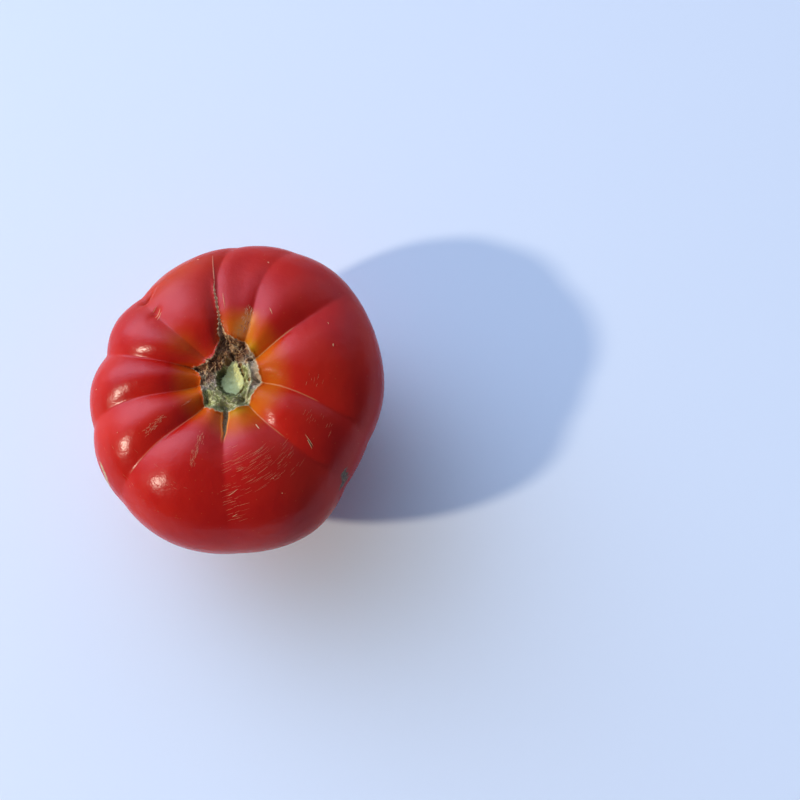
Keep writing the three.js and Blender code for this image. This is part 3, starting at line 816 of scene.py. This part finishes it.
def russet():
    """Raised golden cork of the hairlines and nicks: the mesh says how pale each one is."""
    material, tree = new_material("russet")
    red, orange = rgb(0.52, 0.05, 0.014), rgb(0.62, 0.12, 0.03)
    golden, cream = rgb(0.66, 0.34, 0.13), rgb(0.80, 0.54, 0.28)
    dark_gap = rgb(0.05, 0.04, 0.02)

    pale = mask(tree, "pale")
    crumb = fine_grain(tree, 0.3, 2.0)
    crumbly = spread(tree, crumb, 0.35, 0.65)
    colour = blend(tree, pale, blend(tree, crumbly, red, orange), blend(tree, crumbly, golden, cream))
    colour = blend(tree, spread(tree, pale, -1.0, -0.5, 1.0, 0.0), colour, dark_gap)
    shader = add(tree, "ShaderNodeBsdfPrincipled", {
        "Base Color": colour,
        "Roughness": spread(tree, crumb, 0.3, 0.7, 0.45, 0.65),
        "Normal": bump(tree, crumb, 0.03)})
    tree.links.new(shader.outputs[0], add(tree, "ShaderNodeOutputMaterial").inputs["Surface"])
    return material


# ---- pieces ----------------------------------------------------------------------------------------------

def new_piece(name, points, faces, materials, masks, slots=None):
    """A mesh object at the origin from points in millimetres, with masks on its points."""
    mesh = bpy.data.meshes.new(name)
    mesh.from_pydata((np.asarray(points) * MM).tolist(), [], faces)
    for material in materials:
        mesh.materials.append(material)
    if slots is not None:
        mesh.polygons.foreach_set("material_index", slots)
    mesh.polygons.foreach_set("use_smooth", np.ones(len(faces), bool))
    for mask_name, values in masks.items():
        attribute = mesh.attributes.new(mask_name, "FLOAT", "POINT")
        attribute.data.foreach_set("value", np.asarray(values, np.float32))
    mesh.update()
    piece = bpy.data.objects.new(name, mesh)
    bpy.context.scene.collection.objects.link(piece)
    return piece


def fruit_body():
    """The whole fruit, from the stem's pole to the blossom's, with its masks."""
    phi, theta = skin_grid()
    rows, columns = phi.shape
    points, masks = skin(phi, theta)
    pole_phi = np.array([0.0, 180.0])
    pole_points, pole_masks = skin(pole_phi, np.zeros(2))
    flat = np.concatenate([points.reshape(-1, 3), pole_points])
    values = {name: np.concatenate([masks[name].ravel(), pole_masks[name]]) for name in masks}

    index = np.arange(rows * columns).reshape(rows, columns)
    after = np.roll(index, -1, axis=1)
    quads = np.stack([index[:-1], index[1:], after[1:], after[:-1]], -1).reshape(-1, 4)
    stem, blossom = rows * columns, rows * columns + 1
    caps = [(stem, a, b) for a, b in zip(index[0].tolist(), after[0].tolist())]
    caps += [(a, blossom, b) for a, b in zip(index[-1].tolist(), after[-1].tolist())]
    faces = quads.tolist() + caps

    corky = np.maximum(np.maximum(values["cork"], values["seam"]), values["slit"])
    slots = (corky[quads].mean(1) > 0.5).astype(int).tolist()
    slots += [1] * columns + [0] * columns
    body = new_piece("fruit_skin", flat, faces, [ripe_skin(), stem_cork()], values, slots)
    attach(body, "root")
    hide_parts("tomato")
    return body


NICK_HEIGHT = 0.10
# Small marks, each from one end to the other: meridian angle and azimuth of both ends, width in mm, and its
# tone, from the skin's own red-orange at 0 to cream at 1. Below 0 it turns into a dark gap.
NICKS = [
    (17.0, 301.4, 19.6, 302.1, 0.40, 1.0),
    (23.4, 56.2, 21.7, 50.9, 0.32, 0.7),
    (39.6, 12.8, 39.9, 14.5, 0.60, 0.9),
    (41.3, 25.9, 41.5, 27.1, 0.42, 0.7),
    (49.2, 72.1, 50.0, 73.0, 0.50, 0.9),
    (59.0, 105.5, 60.6, 106.3, 0.40, 0.7),
    (53.7, 275.5, 51.9, 277.9, 0.28, 0.7),
    (42.7, 274.8, 39.7, 279.7, 0.26, 0.8),
    (48.1, 296.5, 48.5, 296.9, 0.50, 0.6),
    (40.0, 295.8, 40.3, 296.2, 0.40, 0.4),
    (59.8, 186.8, 60.2, 187.3, 0.45, 0.9),
    (44.8, 212.6, 45.1, 213.0, 0.45, 0.8),
    (91.8, 311.1, 92.3, 311.8, 0.45, 0.5),
    (83.2, 21.0, 84.3, 21.9, 0.40, -1.0),
    (36.8, 321.5, 44.4, 319.7, 0.26, 0.7),
    (39.2, 320.2, 44.6, 318.4, 0.28, 0.9),
    (39.6, 320.4, 43.9, 319.1, 0.42, -1.0),
    (38.4, 135.6, 35.9, 142.8, 0.60, 0.85),
    (35.4, 136.9, 33.7, 143.0, 0.50, 0.8),
    (41.4, 136.3, 41.0, 140.7, 0.36, 0.5),
    (33.0, 98.6, 50.0, 99.0, 0.50, 0.22),
    (44.0, 98.9, 61.0, 99.2, 0.42, 0.15),
    (20.0, 91.5, 28.0, 93.5, 0.55, 0.12),
]

FLECK_HEIGHT = 0.04
FLECK_SCATTER = 0.25         # how far the flecks stray past the ends of the band, in degrees
FLECK_LENGTH = (0.5, 2.0)    # in degrees
FLECK_SLANT = 0.4            # and how far they turn from the meridian over that length, in degrees
FLECK_WIDTH = (0.13, 0.25)
# Bands of rubs: ends as above, width of the band in degrees, number of flecks, and their tones.
RUBS = [
    (20.9, 222.6, 31.6, 223.6, 0.9, 70, (0.0, 0.0, 0.1, 0.2)),
    (17.3, 256.2, 29.9, 256.7, 1.1, 70, (0.0, 0.0, 0.1, 0.2)),
    (10.7, 223.2, 13.5, 223.9, 0.5, 14, (0.0, 0.0, 0.1, 0.2)),
    (11.5, 67.0, 21.0, 72.0, 3.0, 70, (0.2, 0.4, 0.6, 0.8, -0.7)),
]

CRACK_HEIGHT = 0.04
CRACK_SHORTEST = 0.35        # in shares of the longest
CRACK_SLANT = 0.08           # how much the slopes differ
CRACK_WIDTH = (0.10, 0.17)
CRACK_TONES = (0.0, 0.0, 0.05, 0.1, 0.2, 0.4)
# Fields of hairline cracks round the stem: meridian angles, azimuths, number, longest in mm, and how steeply
# they climb towards the stem at the first azimuth: half as steeply at the last one.
HAIRLINES = [
    ((21, 56), (273, 282), 52, 3.6, 0.55),
    ((26, 42), (280, 300), 54, 5.5, 0.35),
    ((29, 44), (297, 312), 30, 4.2, 0.0),
    ((31, 49), (328, 335), 15, 2.4, 0.0),
    ((27, 35), (349, 356), 8, 2.4, 0.0),
    ((38, 60), (212, 262), 18, 2.2, 0.0),
]

STROKE_STEPS = 7             # cross sections along a stroke
STROKE_TIP = 0.06            # share of its width and height that is left at its ends
# The corners of a cross section: where they lie across it, in its widths, how high, in its heights, and how
# far below that, in mm. The outer ones are just under the skin and the last one closes it underneath.
STROKE_ACROSS = np.array([-0.5, -0.28, 0.0, 0.28, 0.5, 0.0])
STROKE_LIFT = np.array([0.0, 0.75, 1.0, 0.75, 0.0, 0.0])
STROKE_ROOT = np.array([0.06, 0.0, 0.0, 0.0, 0.06, 0.12])
MARKS_SEED = 27


def on_skin(phi, theta, lift):
    """Points on the skin, raised by lift along its normal. Arrays in, millimetres out."""
    phi, theta = np.asarray(phi, float), np.asarray(theta, float)
    here = skin(phi, theta)[0]
    down = skin(phi + NORMAL_STEP, theta)[0] - here
    side = skin(phi, theta + NORMAL_STEP)[0] - here
    normal = np.cross(down, side)
    normal /= np.linalg.norm(normal, axis=-1, keepdims=True)
    return here + normal * np.asarray(lift)[..., None]


def stroke(a_phi, a_theta, b_phi, b_theta, width, height):
    """A low ridge of cork on the skin between two places, tapered to both ends and closed underneath."""
    t = np.linspace(0, 1, STROKE_STEPS)
    phi = a_phi + (b_phi - a_phi) * t
    theta = a_theta + (b_theta - a_theta) * t
    per_theta = np.radians(1) * girth(theta) * meridian(phi)[0]
    along_phi, along_theta = (b_phi - a_phi) * PER_PHI, (b_theta - a_theta) * per_theta
    length = np.hypot(along_phi, along_theta)
    side_phi, side_theta = -along_theta / length / PER_PHI, along_phi / length / per_theta
    swell = np.sqrt(np.clip(1 - (2 * t - 1) ** 2, 0, 1)) * (1 - STROKE_TIP) + STROKE_TIP
    lift = STROKE_LIFT * height - STROKE_ROOT
    grid_phi = phi[:, None] + side_phi[:, None] * STROKE_ACROSS * width * swell[:, None]
    grid_theta = theta[:, None] + side_theta[:, None] * STROKE_ACROSS * width * swell[:, None]
    raised = np.where(lift > 0, lift * swell[:, None], lift)
    points = on_skin(grid_phi, grid_theta, raised).reshape(-1, 3)
    ring = len(STROKE_ACROSS)
    faces = []
    for k in range(STROKE_STEPS - 1):
        for j in range(ring):
            m = (j + 1) % ring
            faces.append((k * ring + j, k * ring + m, (k + 1) * ring + m, (k + 1) * ring + j))
    faces.append(tuple(reversed(range(ring))))
    faces.append(tuple((STROKE_STEPS - 1) * ring + j for j in range(ring)))
    return points, faces


def russet_marks():
    """All the small raised marks as one piece: nicks, rubs and hairline cracks."""
    rng = random.Random(MARKS_SEED)
    strokes = [(*nick[:5], NICK_HEIGHT, nick[5]) for nick in NICKS]
    for a_phi, a_theta, b_phi, b_theta, band, count, tones in RUBS:
        for _ in range(count):
            t = rng.random()
            phi = a_phi + (b_phi - a_phi) * t + rng.gauss(0, FLECK_SCATTER)
            theta = a_theta + (b_theta - a_theta) * t + rng.gauss(0, band)
            long = rng.uniform(*FLECK_LENGTH)
            strokes.append((phi, theta, phi + long, theta + rng.uniform(-FLECK_SLANT, FLECK_SLANT),
                            rng.uniform(*FLECK_WIDTH), FLECK_HEIGHT, rng.choice(tones)))
    for (low_phi, high_phi), (low_theta, high_theta), count, longest, climb in HAIRLINES:
        for _ in range(count):
            phi = rng.uniform(low_phi, high_phi)
            theta = rng.uniform(low_theta, high_theta)
            length = rng.uniform(CRACK_SHORTEST, 1.0) * longest
            half = math.degrees(length / 2 / float(girth(np.array(theta)) * meridian(np.array(phi))[0]))
            across = (theta - low_theta) / (high_theta - low_theta)
            slope = climb * (1 - 0.5 * across) + rng.uniform(-CRACK_SLANT, CRACK_SLANT)
            slant = slope * length / 2 / PER_PHI
            strokes.append((phi + slant, theta - half, phi - slant, theta + half,
                            rng.uniform(*CRACK_WIDTH), CRACK_HEIGHT, rng.choice(CRACK_TONES)))
    points, faces, pale = [], [], []
    for *place, tone in strokes:
        first = sum(len(p) for p in points)
        own_points, own_faces = stroke(*place)
        points.append(own_points)
        faces += [tuple(first + k for k in face) for face in own_faces]
        pale += [tone] * len(own_points)
    marks = new_piece("russet_marks", np.concatenate(points), faces, [russet()], {"pale": pale})
    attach(marks, "root")
    return marks


# ---- the table, the light and the camera -----------------------------------------------------------------

TABLE_HALF_SIDE = 3.0        # in m
TABLE_COLOUR = rgb(0.79, 0.84, 0.90)

# The warm lamp: where it stands, in degrees and m, and the width of its disk in m.
KEY_AZIMUTH, KEY_ELEVATION, KEY_DISTANCE = 198, 33, 2.5
KEY_SIZE = 0.16
KEY_WATTS = 37.5
KEY_COLOUR = (1.0, 0.90, 0.74)

# The room round the fruit is bright towards ROOM_AZIMUTH and dark the other way. The passage is given by the
# cosine of the way from there.
ROOM_AZIMUTH = 112
ROOM_PASSAGE = (0.08, 0.75)
ROOM_DARK = 0.08             # what is left of the light on the dark side
ROOM_LEVEL = 1.74
ROOM_COLOUR = rgb(0.79, 1.0, 1.44)
# A brighter glow in it: azimuth and elevation, reach in degrees, and by what share it is brighter.
GLOW_WAY, GLOW_REACH, GLOW_RISE = (140, 24), 36, 1.4
# And dimmer patches: azimuth and elevation, reach in degrees, and by what share each is dimmer.
DIM_PATCHES = (((86, 2), 39, 0.80), ((172, 0), 24, 0.60), ((58, 42), 24, 0.60))


def table():
    """A plain pale floor under the fruit."""
    half = TABLE_HALF_SIDE
    corners = [(-half, -half, 0), (half, -half, 0), (half, half, 0), (-half, half, 0)]
    mesh = bpy.data.meshes.new("table")
    mesh.from_pydata(corners, [], [(0, 1, 2, 3)])
    material, tree = new_material("pale table")
    shader = add(tree, "ShaderNodeBsdfPrincipled", {"Base Color": TABLE_COLOUR, "Roughness": 0.6})
    tree.links.new(shader.outputs[0], add(tree, "ShaderNodeOutputMaterial").inputs["Surface"])
    mesh.materials.append(material)
    floor = bpy.data.objects.new("table", mesh)
    bpy.context.scene.collection.objects.link(floor)


def direction(azimuth, elevation):
    a, e = math.radians(azimuth), math.radians(elevation)
    return (math.cos(e) * math.cos(a), math.cos(e) * math.sin(a), math.sin(e))


def key_light():
    """A warm lamp from the left, low enough to draw every furrow."""
    light = bpy.data.lights.new("key", "AREA")
    light.shape = "DISK"
    light.size = KEY_SIZE
    light.energy = KEY_WATTS
    light.color = KEY_COLOUR
    lamp = bpy.data.objects.new("key", light)
    lit_point = np.array((0, 0, GIRTH_HEIGHT * MM))
    lamp.location = np.array(direction(KEY_AZIMUTH, KEY_ELEVATION)) * KEY_DISTANCE + lit_point
    lamp.rotation_euler = (math.radians(90 - KEY_ELEVATION), 0, math.radians(KEY_AZIMUTH + 90))
    bpy.context.scene.collection.objects.link(lamp)


def soft_room():
    """Half of the room is a pale bluish diffuser and the other half is dark, with a soft passage between."""
    world = bpy.data.worlds.new("soft room")
    world.use_nodes = True
    tree = world.node_tree
    tree.nodes.clear()
    way = add(tree, "ShaderNodeTexCoord").outputs["Generated"]

    def toward(azimuth, elevation):
        node = add(tree, "ShaderNodeVectorMath", operation="DOT_PRODUCT")
        tree.links.new(way, node.inputs[0])
        node.inputs[1].default_value = direction(azimuth, elevation)
        return node.outputs["Value"]

    sheet = spread(tree, toward(ROOM_AZIMUTH, 0), *ROOM_PASSAGE, ROOM_DARK, 1.0)
    glow = spread(tree, toward(*GLOW_WAY), math.cos(math.radians(GLOW_REACH)), 1.0, 0.0, GLOW_RISE)
    level = math_node(tree, "MULTIPLY", sheet, math_node(tree, "ADD", 1.0, glow))
    for middle, reach, share in DIM_PATCHES:
        dim = spread(tree, toward(*middle), math.cos(math.radians(reach)), 1.0, 1.0, 1.0 - share)
        level = math_node(tree, "MULTIPLY", level, dim)
    background = add(tree, "ShaderNodeBackground", {
        "Color": ROOM_COLOUR, "Strength": math_node(tree, "MULTIPLY", level, ROOM_LEVEL)})
    tree.links.new(background.outputs[0], add(tree, "ShaderNodeOutputWorld").inputs["Surface"])
    bpy.context.scene.world = world


def lights():
    key_light()
    soft_room()
    bpy.context.scene.view_settings.view_transform = "Standard"


FRAME_PX = 800               # the picture's side
FOCAL_PX = 1000              # focal length, in the same pixels
SENSOR = 36.0                # the sensor's width in mm
FRUIT_PX = (238.0, 399.0)    # where the middle of the fruit's girth stands in the picture
VIEW_DISTANCE = 343.0        # from the camera to the girth's middle, along the view
VIEW_ELEVATION = 75.0
AIM = (-0.55, -1.03, GIRTH_HEIGHT)   # the girth's middle


def camera():
    """Looks down steeply along +Y, with the fruit left of the middle."""
    e = math.radians(VIEW_ELEVATION)
    forward = np.array([0, math.cos(e), -math.sin(e)])
    up = np.array([0, math.sin(e), math.cos(e)])
    right = np.array([1.0, 0, 0])
    across = (FRUIT_PX[0] - FRAME_PX / 2) / FOCAL_PX * VIEW_DISTANCE
    above = (FRAME_PX / 2 - FRUIT_PX[1]) / FOCAL_PX * VIEW_DISTANCE
    place = np.array(AIM) - forward * VIEW_DISTANCE - right * across - up * above
    data = bpy.data.cameras.new("camera")
    data.sensor_width = SENSOR
    data.lens = SENSOR * FOCAL_PX / FRAME_PX
    data.clip_start = 0.01
    eye = bpy.data.objects.new("camera", data)
    eye.location = place * MM
    eye.rotation_euler = (math.radians(90) - e, 0, 0)
    bpy.context.scene.collection.objects.link(eye)
    bpy.context.scene.camera = eye


fruit_body()
russet_marks()
table()
lights()
camera()
